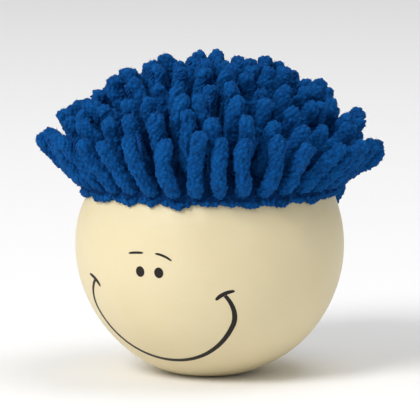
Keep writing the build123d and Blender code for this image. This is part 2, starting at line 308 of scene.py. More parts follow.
@dataclass(frozen=True)
class MopLayout:
    """Where the mop's cap and strands lie on the ball, by the same rules as the CAD pieces."""

    ball: BallForm
    bond_gap: float = 0.02
    glue: float = 0.48
    glue_margin: float = 1.0
    backing: float = 1.0
    hairline: float = 24.0
    rod_radius: float = 1.6
    rod_gap: float = 1.95
    edge_margin: float = 2.2
    length: float = 14.6
    crown_shortening: float = 5.4
    side_shortening: float = 1.6
    length_scatter: float = 1.1
    straight_root: float = 1.2
    root_cover: float = 0.4
    bend_radius: float = 7.0
    least_bend: float = 1.0
    quartered_rows: int = 4
    halved_rows: int = 2
    parting: float = -70.0
    parting_slope: float = 80.0
    parting_width: float = 32.0
    side_slope: float = 47.0
    fan_angle: float = 30.0
    swirl_angle: float = 22.0
    swirl_beats: int = 3
    swirl_shift: float = 1.0
    back_wave: float = 16.0
    wave_beats: int = 5
    wave_shift: float = 0.8
    droop_azimuth: float = 8.0
    droop_angle: float = 16.0
    droop_width: float = 16.0
    crown_lift: float = 0.8
    tousle_share: float = 1.12
    tousle_behind: float = 0.6
    tousle_around: float = 0.8
    tousle_upward: float = 0.9
    least_spread: float = 0.35
    scatter_start: int = 777
    loose_azimuth: float = 40.0
    loose_sweep: float = 18.0
    loose_latitude: float = 12.0
    loose_bulge: float = 0.15
    loose_root_gap: float = 0.15
    loose_tip_gap: float = 0.35

    @property
    def glue_outer(self) -> float:
        """The radius of the glue's outer surface about the ball's centre."""
        return self.ball.radius + self.bond_gap + self.glue

    @property
    def outer(self) -> float:
        """The radius of the backing cloth's outer surface."""
        return self.glue_outer + self.backing

    @staticmethod
    def scatter(number: int, channel: int) -> float:
        """A fixed, even spread of values from -1 to 1, one for each strand and channel."""
        spread = math.sin(number * 12.9898 + channel * 78.233) * 43758.5453
        return 2 * (spread - math.floor(spread)) - 1

    @staticmethod
    def away(azimuth: float, middle: float) -> float:
        """How far an azimuth is from another, from -180 to 180 degrees."""
        return (azimuth - middle + 180) % 360 - 180

    def rows(self) -> list[tuple[float, int]]:
        """Polar angle in degrees and number of strands, for each row from the hairline to the crown."""
        pitch = 2 * self.rod_radius + self.rod_gap
        lowest = math.radians(90 - self.hairline) - self.edge_margin / self.outer
        steps = math.floor(lowest * self.outer / pitch)
        polars = [lowest * (1 - step / steps) for step in range(steps)]
        counts = [math.floor(2 * math.pi * self.outer * math.sin(polar) / pitch) for polar in polars]
        return [(math.degrees(polar), count) for polar, count in zip(polars, counts)] + [(0.0, 1)]

    def lean(self, number: int, azimuth: float, latitude: float) -> np.ndarray:
        """The direction of a strand's tip: parted at the front, fanned to the sides, tousled behind."""
        turn = self.away(azimuth, self.parting)
        behind = 0.5 - 0.5 * math.cos(math.radians(turn))
        rise = (latitude - self.hairline) / (90 - self.hairline)
        fanned = self.fan_angle * math.sin(math.radians(2 * turn)) if abs(turn) < 90 else 0
        swirl_beat = math.radians(self.swirl_beats * turn) + self.swirl_shift
        swirl = self.swirl_angle * behind * math.sin(swirl_beat)
        near_parting = math.exp(-((turn / self.parting_width) ** 2))
        slope = self.side_slope + (self.parting_slope - self.side_slope) * near_parting
        wave_beat = math.radians(self.wave_beats * turn) + self.wave_shift
        slope += self.back_wave * behind * math.sin(wave_beat)
        from_droop = self.away(azimuth, self.droop_azimuth) / self.droop_width
        slope -= self.droop_angle * math.exp(-(from_droop**2))
        slope += (90 - slope) * rise**self.crown_lift
        tousle = math.degrees(self.tousle_share * self.rod_gap / self.length)
        tousle *= 1 + self.tousle_behind * behind
        swing = self.tousle_around * tousle / max(math.cos(math.radians(slope)), self.least_spread)
        heading = azimuth + (fanned + swirl) * (1 - rise) + swing * self.scatter(number, 1)
        return unit(heading, slope + self.tousle_upward * tousle * self.scatter(number, 2))

    def loose_root(self) -> tuple[int, float]:
        """The lowest row's place nearest to the loose strand's azimuth, and that place's own azimuth."""
        count = self.rows()[0][1]
        place = round(self.away(self.loose_azimuth, -90) * count / 360)
        return place, 360 * place / count - 90

    def strands(self) -> list[Strand]:
        """Every standing strand, without the one that hangs loose."""
        found = []
        number = self.scatter_start
        loose_place, _ = self.loose_root()
        for row, (polar, count) in enumerate(self.rows()):
            for place in range(count):
                number += 1
                azimuth = 360 * (place + 0.5 * (row % 2)) / count - 90
                rise = 1 - polar / (90 - self.hairline)
                sideness = abs(math.sin(math.radians(self.away(azimuth, self.parting)))) * (1 - rise)
                length = self.length - self.crown_shortening * rise - self.side_shortening * sideness
                length += self.length_scatter * self.scatter(number, 3)
                lean = self.lean(number, azimuth, 90 - polar)
                root = unit(azimuth, 90 - polar)
                if (row, place) != (0, loose_place):
                    found.append(Strand(number, row, place, azimuth, root, lean, length))
        return found

    def node_of(self, strand: Strand) -> str:
        """The CAD node that a standing strand belongs to."""
        if strand.row == len(self.rows()) - 1:
            return "strand_crown"
        name = f"strands_row{strand.row + 1}"
        if strand.row < self.quartered_rows:
            quarter = list(Quarter)[math.floor((strand.azimuth + 45) % 360 / 90)]
            return f"{name}_{quarter.value}"
        if strand.row < self.quartered_rows + self.halved_rows:
            half = Quarter.BACK if 0 <= strand.azimuth < 180 else Quarter.FRONT
            return f"{name}_{half.value}"
        return name

    def yarn_node_of(self, strand: Strand) -> str:
        """The CAD node that a standing strand's core yarn belongs to."""
        last = len(self.rows()) - 1
        return "core_yarn_crown" if strand.row == last else f"core_yarns_row{strand.row + 1}"

    def centreline(self, strand: Strand, gap: float = 0.3) -> np.ndarray:
        """A strand's line from inside the cloth to its tip: a short root, a bend and a straight run."""
        root, lean = strand.root, strand.lean
        turn = math.acos(max(-1.0, min(1.0, float(root @ lean))))
        bend = max(turn, math.radians(self.least_bend))
        sideways = normalised(lean - root * (root @ lean))
        start = self.ball.centre + root * (self.outer + self.straight_root)
        turns = np.linspace(0, bend, max(4, int(self.bend_radius * bend / gap)))[:, None]
        arc = start + self.bend_radius * (np.sin(turns) * root + (1 - np.cos(turns)) * sideways)
        heading = root * math.cos(bend) + sideways * math.sin(bend)
        run = strand.length + self.rod_radius - self.straight_root - self.bend_radius * bend
        straight = arc[-1] + heading * np.linspace(gap, run, int(run / gap))[:, None]
        stem = start - np.linspace(self.straight_root + self.root_cover, gap, 5)[:, None] * root
        return np.concatenate([stem, arc, straight])

    def loose_line(self, steps: int = 50) -> tuple[np.ndarray, np.ndarray]:
        """The loose strand's line, and the axis that it swings about."""
        _, azimuth = self.loose_root()
        outward = unit(azimuth, 90 - self.rows()[0][0])
        root = self.ball.centre + outward * (self.outer + self.loose_root_gap + self.rod_radius)
        reach = self.ball.radius + self.loose_tip_gap + self.rod_radius
        tip = self.ball.centre + unit(azimuth + self.loose_sweep, self.loose_latitude) * reach
        chord = tip - root
        axis = normalised(np.cross(chord, outward))
        half = 2 * math.atan(2 * self.loose_bulge)
        bend_radius = np.linalg.norm(chord) / 2 / math.sin(half)
        along = normalised(chord)
        across = np.cross(axis, along)
        start = along * math.cos(half) + across * math.sin(half)
        inward = along * math.sin(half) - across * math.cos(half)
        turns = np.linspace(0, 2 * half, steps)[:, None]
        line = root + bend_radius * ((1 - np.cos(turns)) * inward + np.sin(turns) * start)
        onward = normalised(line[-1] - line[-2])
        tip_run = [line[-1] + onward * reach for reach in (self.rod_radius / 2, self.rod_radius)]
        return np.concatenate([line, tip_run]), axis


@dataclass(frozen=True)
class ChenillePile:
    """How a strand's pile stands round its core: nubs wound round the strand, and stray fibre ends."""

    radius: float = 1.42
    radius_spread: float = 0.09
    segments: int = 48
    ring_gap: float = 0.25
    tip_rings: int = 9
    nub_gap: float = 0.84
    nub_height: float = 0.52
    nub_reach: float = 0.66
    nub_jitter: float = 0.25
    nub_strength: tuple[float, float] = (0.55, 1.25)
    roughness: float = 0.06
    wander: float = 1.0
    wander_range: tuple[float, float] = (0.4, 1.5)
    wander_beats: tuple[float, float] = (0.5, 1.1)
    wander_power: float = 1.3
    swells: tuple[tuple[float, float], ...] = ((0.10, 1.05), (0.07, 0.47))  # height and length of each
    waist_depth: float = 0.30
    waist_length: float = 3.0
    tip_shares: tuple[float, ...] = (0.75, 0.95, 1.25, 1.7)
    tip_odds: tuple[float, ...] = (0.3, 0.35, 0.2, 0.15)
    tip_bluntness: float = 0.8
    fibres: int = 170
    fibre_length: float = 0.62
    fibre_range: tuple[float, float] = (0.5, 1.3)
    fibre_width: float = 0.05
    fibre_root: float = 0.12
    fibre_lean: tuple[float, float] = (-0.4, 0.9)
    fibre_stray: float = 0.3

    def capsule(self, length: float, tip: float, rings: int) -> tuple[np.ndarray, np.ndarray]:
        """A straight rod with a rounded tip along +Z, as points and outward normals, ring by ring."""
        body = np.linspace(0, length - tip, rings)
        lift = np.linspace(0, math.pi / 2, self.tip_rings + 2)[1:-1]
        heights = np.concatenate([body, length - tip + tip * np.sin(lift)])
        widths = np.concatenate([np.ones(rings), np.cos(lift) ** self.tip_bluntness]) * self.radius
        slopes = np.concatenate([np.zeros(rings), lift])
        turns = np.linspace(0, 2 * math.pi, self.segments, endpoint=False)
        ring = np.stack([np.cos(turns), np.sin(turns), np.zeros(self.segments)], axis=-1)[None]
        upward = np.array([0, 0, 1])
        points = ring * widths[:, None, None] + upward * heights[:, None, None]
        normals = ring * np.cos(slopes)[:, None, None] + upward * np.sin(slopes)[:, None, None]
        pole = np.array([[0, 0, length]])
        return (np.concatenate([points.reshape(-1, 3), pole]),
                np.concatenate([normals.reshape(-1, 3), [[0, 0, 1]]]))

    def nubs(self, points: np.ndarray, length: float, draw: np.random.Generator) -> np.ndarray:
        """How high the pile stands at each point, from nubs set in a spiral round the strand."""
        step = self.nub_gap**2 / (2 * math.pi * self.radius)
        count = int(length / step)
        order = np.arange(count)
        turns = order * GOLDEN_TURN + draw.uniform(-self.nub_jitter, self.nub_jitter, count)
        heights = (order + 0.5) * step
        inset = np.clip((heights - (length - self.radius)) / self.radius, 0, 1)
        widths = self.radius * np.sqrt(1 - inset**2)
        centres = np.stack([widths * np.cos(turns), widths * np.sin(turns), heights], axis=-1)
        squares = (points**2).sum(1)[:, None] + (centres**2).sum(1)[None] - 2 * points @ centres.T
        domes = np.clip(1 - squares / self.nub_reach**2, 0, None) * draw.uniform(*self.nub_strength, count)
        return domes.max(1)

    def grow(self, line: np.ndarray, seed: int, reference: np.ndarray) -> Shape:
        """One strand's pile about a line.

        Args:
            line: the strand's centreline in millimetres, from root to tip.
            seed: picks this strand's own wander, swell and nubs.
            reference: a direction crossways to the line.

        Returns:
            A closed shape with the value pile_height, 0 in the hollows and 1 on the nubs.
        """
        draw = np.random.default_rng(seed)
        steps = np.linalg.norm(np.diff(line, axis=0), axis=1)
        along = np.concatenate([[0], np.cumsum(steps)])
        length = along[-1]
        share = along / length
        thickness = self.radius_spread * draw.uniform(-1, 1)
        wander = self.wander * draw.uniform(*self.wander_range)
        _, *crossways = carried_frames(line, reference)
        for direction in crossways:
            phase, beat = draw.uniform(0, 2 * math.pi), draw.uniform(*self.wander_beats)
            sway = np.sin(share * 2 * math.pi * beat + phase) - math.sin(phase)
            line = line + direction * (wander * share**self.wander_power * sway)[:, None]
        tangents, first, second = carried_frames(line, reference)
        tip = self.radius * draw.choice(self.tip_shares, p=self.tip_odds)
        rings = max(8, round((length - tip) / self.ring_gap))
        points, normals = self.capsule(length, tip, rings)
        height = self.nubs(points, length, draw)
        phases = draw.uniform(0, 2 * math.pi, len(self.swells))
        level = points[:, 2]
        swell = sum(rise * np.sin(level / run + phase) for (rise, run), phase in zip(self.swells, phases))
        waist = -self.waist_depth * (1 - smoothstep(level / self.waist_length))
        rough = draw.normal(0, self.roughness, len(points))
        stand = self.nub_height * height + swell + waist + thickness + rough
        grown = points + normals * stand[:, None]
        placed = self.bent(grown, line, along, first, second, tangents)
        count = rings + self.tip_rings
        body = ring_quads(count, self.segments)
        cap = fan((count - 1) * self.segments, self.segments, count * self.segments, True)
        floor = np.arange(self.segments)[::-1][None]
        # The pile height value also sets the painted shade in the hollows between nubs.
        pile = Shape(placed, [body, cap, floor], {"pile_height": np.clip(height, 0, 1)})
        return Shape.joined([pile, self.fibre_ends(placed, count, draw)])

    @staticmethod
    def bent(points: np.ndarray, line: np.ndarray, along: np.ndarray, first: np.ndarray,
             second: np.ndarray, tangents: np.ndarray) -> np.ndarray:
        """Straight-rod points carried onto a curved line."""
        level = np.clip(points[:, 2], 0, along[-1])
        carry = [np.stack([np.interp(level, along, block[:, axis]) for axis in range(3)], axis=-1)
                 for block in (line, first, second, tangents)]
        beyond = (points[:, 2] - level)[:, None]
        return carry[0] + carry[1] * points[:, :1] + carry[2] * points[:, 1:2] + carry[3] * beyond

    def fibre_ends(self, surface: np.ndarray, rings: int, draw: np.random.Generator) -> Shape:
        """Stray fibre ends that stand out of the pile, each a thin closed three-sided spike."""
        body = surface[: rings * self.segments].reshape(rings, self.segments, 3)
        middles = body.mean(1)
        ring = draw.integers(2, rings, self.fibres)
        spot = draw.integers(0, self.segments, self.fibres)
        feet = body[ring, spot]
        outward = normalised(feet - middles[ring])
        onward = normalised(middles[ring] - middles[ring - 2])
        heading = normalised(outward + onward * draw.uniform(*self.fibre_lean, (self.fibres, 1))
                             + draw.normal(0, self.fibre_stray, (self.fibres, 3)))
        reach = self.fibre_length * draw.uniform(*self.fibre_range, (self.fibres, 1))
        crossways = normalised(np.cross(heading, onward + 1e-3))
        upright = np.cross(heading, crossways)
        feet = feet - outward * self.fibre_root
        corners = []
        for turn in (0, 2 * math.pi / 3, 4 * math.pi / 3):
            corners.append(feet + self.fibre_width * (math.cos(turn) * crossways + math.sin(turn) * upright))
        corners.append(feet + heading * (reach + self.fibre_root))
        points = np.stack(corners, axis=1).reshape(-1, 3)
        start = np.arange(self.fibres)[:, None] * 4
        sides = ((0, 1, 3), (1, 2, 3), (2, 0, 3), (0, 2, 1))
        faces = np.concatenate([start + np.array(side) for side in sides])
        return Shape(points, [faces], {"pile_height": np.ones(len(points))})


@dataclass(frozen=True)
class TwistedThread:
    """A thread of plies wound round each other."""

    ply_radius: float
    plies: int = 2
    twist_pitch: float = 1.6
    segments: int = 6
    # Pile height value: how far the thread's colour goes towards its finish's painted shade colour.
    pile_height: float = 0.4

    def along(self, line: np.ndarray, reference: np.ndarray) -> Shape:
        """The thread's plies about an open line, each a closed tube."""
        steps = np.linalg.norm(np.diff(line, axis=0), axis=1)
        level = np.concatenate([[0], np.cumsum(steps)])
        _, first, second = carried_frames(line, reference)
        turns = np.linspace(0, 2 * math.pi, self.segments, endpoint=False)
        shapes = []
        for ply in range(self.plies):
            wind = 2 * math.pi * (level / self.twist_pitch + ply / self.plies)
            lay = np.cos(wind)[:, None] * first + np.sin(wind)[:, None] * second
            middle = line + self.ply_radius * lay
            ring_out = (np.cos(turns)[None, :, None] * first[:, None]
                        + np.sin(turns)[None, :, None] * second[:, None])
            points = middle[:, None] + self.ply_radius * ring_out
            count = len(line)
            ring = np.arange(self.segments)[None]
            faces = [ring_quads(count, self.segments), ring[:, ::-1], (count - 1) * self.segments + ring]
            points = points.reshape(-1, 3)
            shapes.append(Shape(points, faces, {"pile_height": np.full(len(points), self.pile_height)}))
        return Shape.joined(shapes)


def even_line(line: np.ndarray, gap: float) -> np.ndarray:
    """A line's points respaced evenly, about a gap apart."""
    steps = np.linalg.norm(np.diff(line, axis=0), axis=1)
    along = np.concatenate([[0], np.cumsum(steps)])
    wanted = np.linspace(0, along[-1], max(3, int(along[-1] / gap)))
    return np.stack([np.interp(wanted, along, line[:, axis]) for axis in range(3)], axis=-1)


class NodeTree:
    """Short calls that add and join shader nodes in one tree."""

    def __init__(self, tree: bpy.types.NodeTree) -> None:
        """Keeps the tree that nodes are added to."""
        self.tree = tree

    def add(self, kind: str, inputs: dict[str, object] | None = None, **settings: object) -> bpy.types.Node:
        """Adds a node.

        Args:
            kind: the node's type name.
            inputs: socket names with a value, or with the output socket that feeds it.
            settings: properties of the node itself.

        Returns:
            The node.
        """
        node = self.tree.nodes.new(kind)
        for name, value in settings.items():
            setattr(node, name, value)
        for name, value in (inputs or {}).items():
            socket = node.inputs[name]
            if isinstance(value, bpy.types.NodeSocket):
                self.tree.links.new(value, socket)
            else:
                socket.default_value = value
        return node

    def blend(self, share: object, low: object, high: object) -> bpy.types.NodeSocket:
        """A mix of two colours."""
        node = self.add("ShaderNodeMix", data_type="RGBA")
        for index, value in ((0, share), (6, low), (7, high)):
            if isinstance(value, bpy.types.NodeSocket):
                self.tree.links.new(value, node.inputs[index])
            else:
                node.inputs[index].default_value = value
        return node.outputs[2]

    def math(self, operation: str, *values: object) -> bpy.types.NodeSocket:
        """One arithmetic step."""
        node = self.add("ShaderNodeMath", operation=operation)
        for index, value in enumerate(values):
            if isinstance(value, bpy.types.NodeSocket):
                self.tree.links.new(value, node.inputs[index])
            else:
                node.inputs[index].default_value = value
        return node.outputs[0]

    def stretch(self, value: bpy.types.NodeSocket, low: float, high: float,
                to_low: float = 0.0, to_high: float = 1.0) -> bpy.types.NodeSocket:
        """A value's range stretched to another, and held inside it."""
        return self.add("ShaderNodeMapRange", {"Value": value, "From Min": low, "From Max": high,
                                               "To Min": to_low, "To Max": to_high}).outputs[0]


def new_group(name: str, inputs: dict[str, str], outputs: dict[str, str]) -> bpy.types.NodeTree:
    """An empty shader node group.

    Args:
        name: the group's name.
        inputs: its input sockets by name, each with its kind.
        outputs: its output sockets by name, each with its kind.

    Returns:
        The group's node tree.
    """
    tree = bpy.data.node_groups.new(name, "ShaderNodeTree")
    for sockets, way in ((inputs, "INPUT"), (outputs, "OUTPUT")):
        for socket, kind in sockets.items():
            tree.interface.new_socket(socket, in_out=way, socket_type=f"NodeSocket{kind}")
    return tree


class FibreFleck:
    """The group behind every fibre material: painted shade in the pile's hollows, painted glints in random
    patches, random tone, and the fine relief between them.
    """

    NAME = "fibre_fleck"
    # The first colour is a painted shade colour for the pile's hollows, and Glint is a painted highlight
    # colour.
    INPUTS = {"Hollow Shade": "Color", "Fibre": "Color", "Glint": "Color", "Grain": "Float", "Pile Height": "Float"}
    OUTPUTS = {"Color": "Color", "Relief": "Float", "Rough": "Float"}
    BROAD_SHARE = 0.11  # of the grain's scale
    CLOSE_SHARE = 0.8  # of the grain's scale
    PILE_SHARE = 0.62
    FINE_SHARE = 0.55
    SPUN_SHARE = 0.6
    GLINT_SHARE = 0.55
    BODY_RANGE = (0.12, 0.95)
    BROAD_RANGE = (0.38, 0.7)
    FINE_RANGE = (0.42, 0.66)
    ROUGH_RANGE = (0.3, 0.7, 0.82, 1.0)

    @classmethod
    def group(cls) -> bpy.types.NodeTree:
        """The shader node group, built on first use."""
        if cls.NAME in bpy.data.node_groups:
            return bpy.data.node_groups[cls.NAME]
        tree = new_group(cls.NAME, cls.INPUTS, cls.OUTPUTS)
        nodes = NodeTree(tree)
        given = nodes.add("NodeGroupInput").outputs
        place = nodes.add("ShaderNodeTexCoord").outputs["Object"]
        fine = nodes.add("ShaderNodeTexNoise", {"Vector": place, "Scale": given["Grain"], "Detail": 4.0,
                                                "Roughness": 0.65}).outputs["Fac"]
        wide = nodes.math("MULTIPLY", given["Grain"], cls.BROAD_SHARE)
        broad = nodes.add("ShaderNodeTexNoise", {"Vector": place, "Scale": wide,
                                                 "Detail": 2.0}).outputs["Fac"]
        close = nodes.math("MULTIPLY", given["Grain"], cls.CLOSE_SHARE)
        cells = nodes.add("ShaderNodeTexVoronoi", {"Vector": place, "Scale": close}, feature="F1")
        spun = nodes.math("MULTIPLY", cells.outputs["Distance"], cls.SPUN_SHARE)
        pile = nodes.math("MULTIPLY", given["Pile Height"], cls.PILE_SHARE)
        stand = nodes.math("ADD", pile, nodes.math("MULTIPLY", fine, cls.FINE_SHARE))
        # Painted shade: the colour darkens where the pile stands low between the nubs, mixed with random tone
        # from the fine noise.
        body = nodes.blend(nodes.stretch(stand, *cls.BODY_RANGE), given["Hollow Shade"], given["Fibre"])
        broad_patch = nodes.stretch(broad, *cls.BROAD_RANGE)
        patch = nodes.math("MULTIPLY", broad_patch, nodes.stretch(fine, *cls.FINE_RANGE))
        # Painted glints in broad random patches.
        colour = nodes.blend(nodes.math("MULTIPLY", patch, cls.GLINT_SHARE), body, given["Glint"])
        relief = nodes.math("SUBTRACT", fine, spun)
        rough = nodes.stretch(fine, *cls.ROUGH_RANGE)
        nodes.add("NodeGroupOutput", {"Color": colour, "Relief": relief, "Rough": rough})
        return tree


class SoftMottle:
    """The group behind the smooth materials: slow drifts of tone, fine specks, and a faint skin texture."""

    NAME = "soft_mottle"
    INPUTS = {"Base": "Color", "Drift": "Color", "Speck": "Color", "Drift Scale": "Float",
              "Speck Scale": "Float", "Speck Amount": "Float"}
    OUTPUTS = {"Color": "Color", "Relief": "Float", "Wear": "Float"}
    DRIFT_RANGE = (0.35, 0.68)
    SPECK_RANGE = (0.60, 0.74)
    SLOW_SHARE = 0.7
    FINE_SHARE = 0.3
    WEAR_RANGE = (0.35, 0.65)

    @classmethod
    def group(cls) -> bpy.types.NodeTree:
        """The shader node group, built on first use."""
        if cls.NAME in bpy.data.node_groups:
            return bpy.data.node_groups[cls.NAME]
        tree = new_group(cls.NAME, cls.INPUTS, cls.OUTPUTS)
        nodes = NodeTree(tree)
        given = nodes.add("NodeGroupInput").outputs
        place = nodes.add("ShaderNodeTexCoord").outputs["Object"]
        slow = nodes.add("ShaderNodeTexNoise", {"Vector": place, "Scale": given["Drift Scale"], "Detail": 3.0,
                                                "Roughness": 0.55}).outputs["Fac"]
        fine = nodes.add("ShaderNodeTexNoise", {"Vector": place, "Scale": given["Speck Scale"], "Detail": 3.0,
                                                "Roughness": 0.6}).outputs["Fac"]
        drifted = nodes.blend(nodes.stretch(slow, *cls.DRIFT_RANGE), given["Base"], given["Drift"])
        dots = nodes.math("MULTIPLY", nodes.stretch(fine, *cls.SPECK_RANGE), given["Speck Amount"])
        colour = nodes.blend(dots, drifted, given["Speck"])
        slow_part = nodes.math("MULTIPLY", slow, cls.SLOW_SHARE)
        both = nodes.math("ADD", slow_part, nodes.math("MULTIPLY", fine, cls.FINE_SHARE))
        wear = nodes.stretch(both, *cls.WEAR_RANGE)
        nodes.add("NodeGroupOutput", {"Color": colour, "Relief": fine, "Wear": wear})
        return tree


def rgba(colour: Colour) -> tuple[float, float, float, float]:
    """A colour with full opacity."""
    return (*colour, 1.0)


@dataclass(frozen=True)
class FibreFinish:
    """A cloth, pile or yarn finish."""

    name: str
    # The painted shade colour of the pile's hollows; the glint is a painted highlight colour.
    hollow_shade: Colour
    fibre: Colour
    glint: Colour
    grain: float = 2600.0
    relief: float = 0.00012
    relief_strength: float = 0.7
    specular: float = 0.08
    sheen: float = 0.12
    sheen_rough: float = 0.45
    sheen_tint: Colour = (0.06, 0.35, 1.0)

    def material(self) -> bpy.types.Material:
        """The finish as a material, built on first use."""
        if self.name in bpy.data.materials:
            return bpy.data.materials[self.name]
        material = bpy.data.materials.new(self.name)
        material.use_nodes = True
        nodes = NodeTree(material.node_tree)
        shader = material.node_tree.nodes["Principled BSDF"]
        height = nodes.add("ShaderNodeAttribute", attribute_name="pile_height").outputs["Fac"]
        fleck = nodes.add("ShaderNodeGroup", node_tree=FibreFleck.group())
        # Sets the painted shade colour of the pile's hollows, the fibre colour, the painted glint colour and
        # the grain.
        given = {"Hollow Shade": rgba(self.hollow_shade), "Fibre": rgba(self.fibre), "Glint": rgba(self.glint),
                 "Grain": self.grain}
        for name, value in given.items():
            fleck.inputs[name].default_value = value
        links = material.node_tree.links
        links.new(height, fleck.inputs["Pile Height"])
        links.new(fleck.outputs["Color"], shader.inputs["Base Color"])
        links.new(fleck.outputs["Rough"], shader.inputs["Roughness"])
        bump = nodes.add("ShaderNodeBump", {"Strength": self.relief_strength, "Distance": self.relief,
                                            "Height": fleck.outputs["Relief"]})
        links.new(bump.outputs["Normal"], shader.inputs["Normal"])
        shader.inputs["Specular IOR Level"].default_value = self.specular
        shader.inputs["Sheen Weight"].default_value = self.sheen
        shader.inputs["Sheen Roughness"].default_value = self.sheen_rough
        shader.inputs["Sheen Tint"].default_value = rgba(self.sheen_tint)
        return material


@dataclass(frozen=True)
class SmoothFinish:
    """A paint, ink, glue or foam finish."""

    name: str
    base: Colour
    drift: Colour
    speck: Colour
    drift_scale: float = 55.0
    speck_scale: float = 1500.0
    speck_amount: float = 0.25
    relief: float = 0.00003
    relief_strength: float = 0.35
    rough_low: float = 0.4
    rough_high: float = 0.5
    coat: float = 0.0
    coat_rough: float = 0.35
    subsurface: float = 0.0
    subsurface_reach: Colour = (0.004, 0.0025, 0.0012)
    specular: float = 0.5

    def material(self) -> bpy.types.Material:
        """The finish as a material, built on first use."""
        if self.name in bpy.data.materials:
            return bpy.data.materials[self.name]
        material = bpy.data.materials.new(self.name)
        material.use_nodes = True
        nodes = NodeTree(material.node_tree)
        shader = material.node_tree.nodes["Principled BSDF"]
        mottle = nodes.add("ShaderNodeGroup", node_tree=SoftMottle.group())
        given = {"Base": rgba(self.base), "Drift": rgba(self.drift), "Speck": rgba(self.speck),
                 "Drift Scale": self.drift_scale, "Speck Scale": self.speck_scale,
                 "Speck Amount": self.speck_amount}
        for name, value in given.items():
            mottle.inputs[name].default_value = value
        links = material.node_tree.links
        links.new(mottle.outputs["Color"], shader.inputs["Base Color"])
        rough = nodes.stretch(mottle.outputs["Wear"], 0, 1, self.rough_low, self.rough_high)
        links.new(rough, shader.inputs["Roughness"])
        bump = nodes.add("ShaderNodeBump", {"Strength": self.relief_strength, "Distance": self.relief,
                                            "Height": mottle.outputs["Relief"]})
        links.new(bump.outputs["Normal"], shader.inputs["Normal"])
        shader.inputs["Specular IOR Level"].default_value = self.specular
        shader.inputs["Coat Weight"].default_value = self.coat
        shader.inputs["Coat Roughness"].default_value = self.coat_rough
        shader.inputs["Subsurface Weight"].default_value = self.subsurface
        shader.inputs["Subsurface Radius"].default_value = self.subsurface_reach
        shader.inputs["Subsurface Scale"].default_value = 1.0
        return material


PAINT = SmoothFinish("cream_satin_paint", (0.735, 0.622, 0.378), (0.76, 0.65, 0.41), (0.66, 0.54, 0.31),
                     speck_amount=0.18, rough_low=0.40, rough_high=0.50, subsurface=0.06, specular=0.45)
FOAM = SmoothFinish("open_cell_foam", (0.78, 0.66, 0.42), (0.82, 0.72, 0.50), (0.45, 0.35, 0.2),
                    drift_scale=90.0, speck_scale=2200.0, speck_amount=0.8, relief=0.0004,
                    relief_strength=0.9, rough_low=0.85, rough_high=1.0, specular=0.2)
GLUE = SmoothFinish("set_contact_glue", (0.62, 0.55, 0.40), (0.72, 0.66, 0.5), (0.5, 0.42, 0.28),
                    drift_scale=200.0, speck_scale=900.0, relief=0.0002, rough_low=0.2, rough_high=0.45,
                    coat=0.3)
FACE_INK = SmoothFinish("black_brown_print", (0.010, 0.007, 0.006), (0.015, 0.011, 0.009),
                        (0.03, 0.024, 0.018), drift_scale=300.0, speck_scale=4000.0, relief=0.00002,
                        rough_low=0.4, rough_high=0.55, specular=0.25)
MARK_INK = SmoothFinish("navy_print", (0.0015, 0.040, 0.17), (0.002, 0.048, 0.195), (0.006, 0.08, 0.28),
                        drift_scale=300.0, speck_scale=4000.0, speck_amount=0.4, relief=0.00002,
                        rough_low=0.45, rough_high=0.6, specular=0.15)
# Each fibre finish: a painted shade colour for the pile's hollows, the fibre's own colour, and a painted
# glint colour.
CHENILLE = FibreFinish("blue_microfibre_chenille", (0.0006, 0.014, 0.060), (0.0022, 0.076, 0.285),
                       (0.005, 0.14, 0.44))
BACKING = FibreFinish("blue_backing_cloth", (0.001, 0.013, 0.060), (0.003, 0.050, 0.20), (0.006, 0.10, 0.33),
                      grain=3200.0)
THREAD = FibreFinish("blue_tufting_thread", (0.003, 0.04, 0.16), (0.006, 0.09, 0.36), (0.03, 0.2, 0.55),
                     grain=5200.0, relief=0.00005, sheen=0.15)
CORE_YARN = FibreFinish("blue_core_yarn", (0.003, 0.04, 0.16), (0.006, 0.08, 0.33), (0.02, 0.17, 0.5),
                        grain=4200.0, relief=0.00006, sheen=0.2)


def finished(obj: bpy.types.Object, finish: FibreFinish | SmoothFinish, slot: str,
             *nodes: str) -> bpy.types.Object:
    """Gives a piece its material and hides the CAD nodes that it stands for.

    Args:
        obj: the piece.
        finish: what it is finished with.
        slot: the record's material slot; not used.
        nodes: the CAD nodes that it stands for.

    Returns:
        The piece.
    """
    obj.data.materials.clear()
    obj.data.materials.append(finish.material())
    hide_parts(*nodes)
    LOG.info("%s: %d faces, for %s", obj.name, len(obj.data.polygons), ", ".join(nodes) or "no CAD node")
    return obj


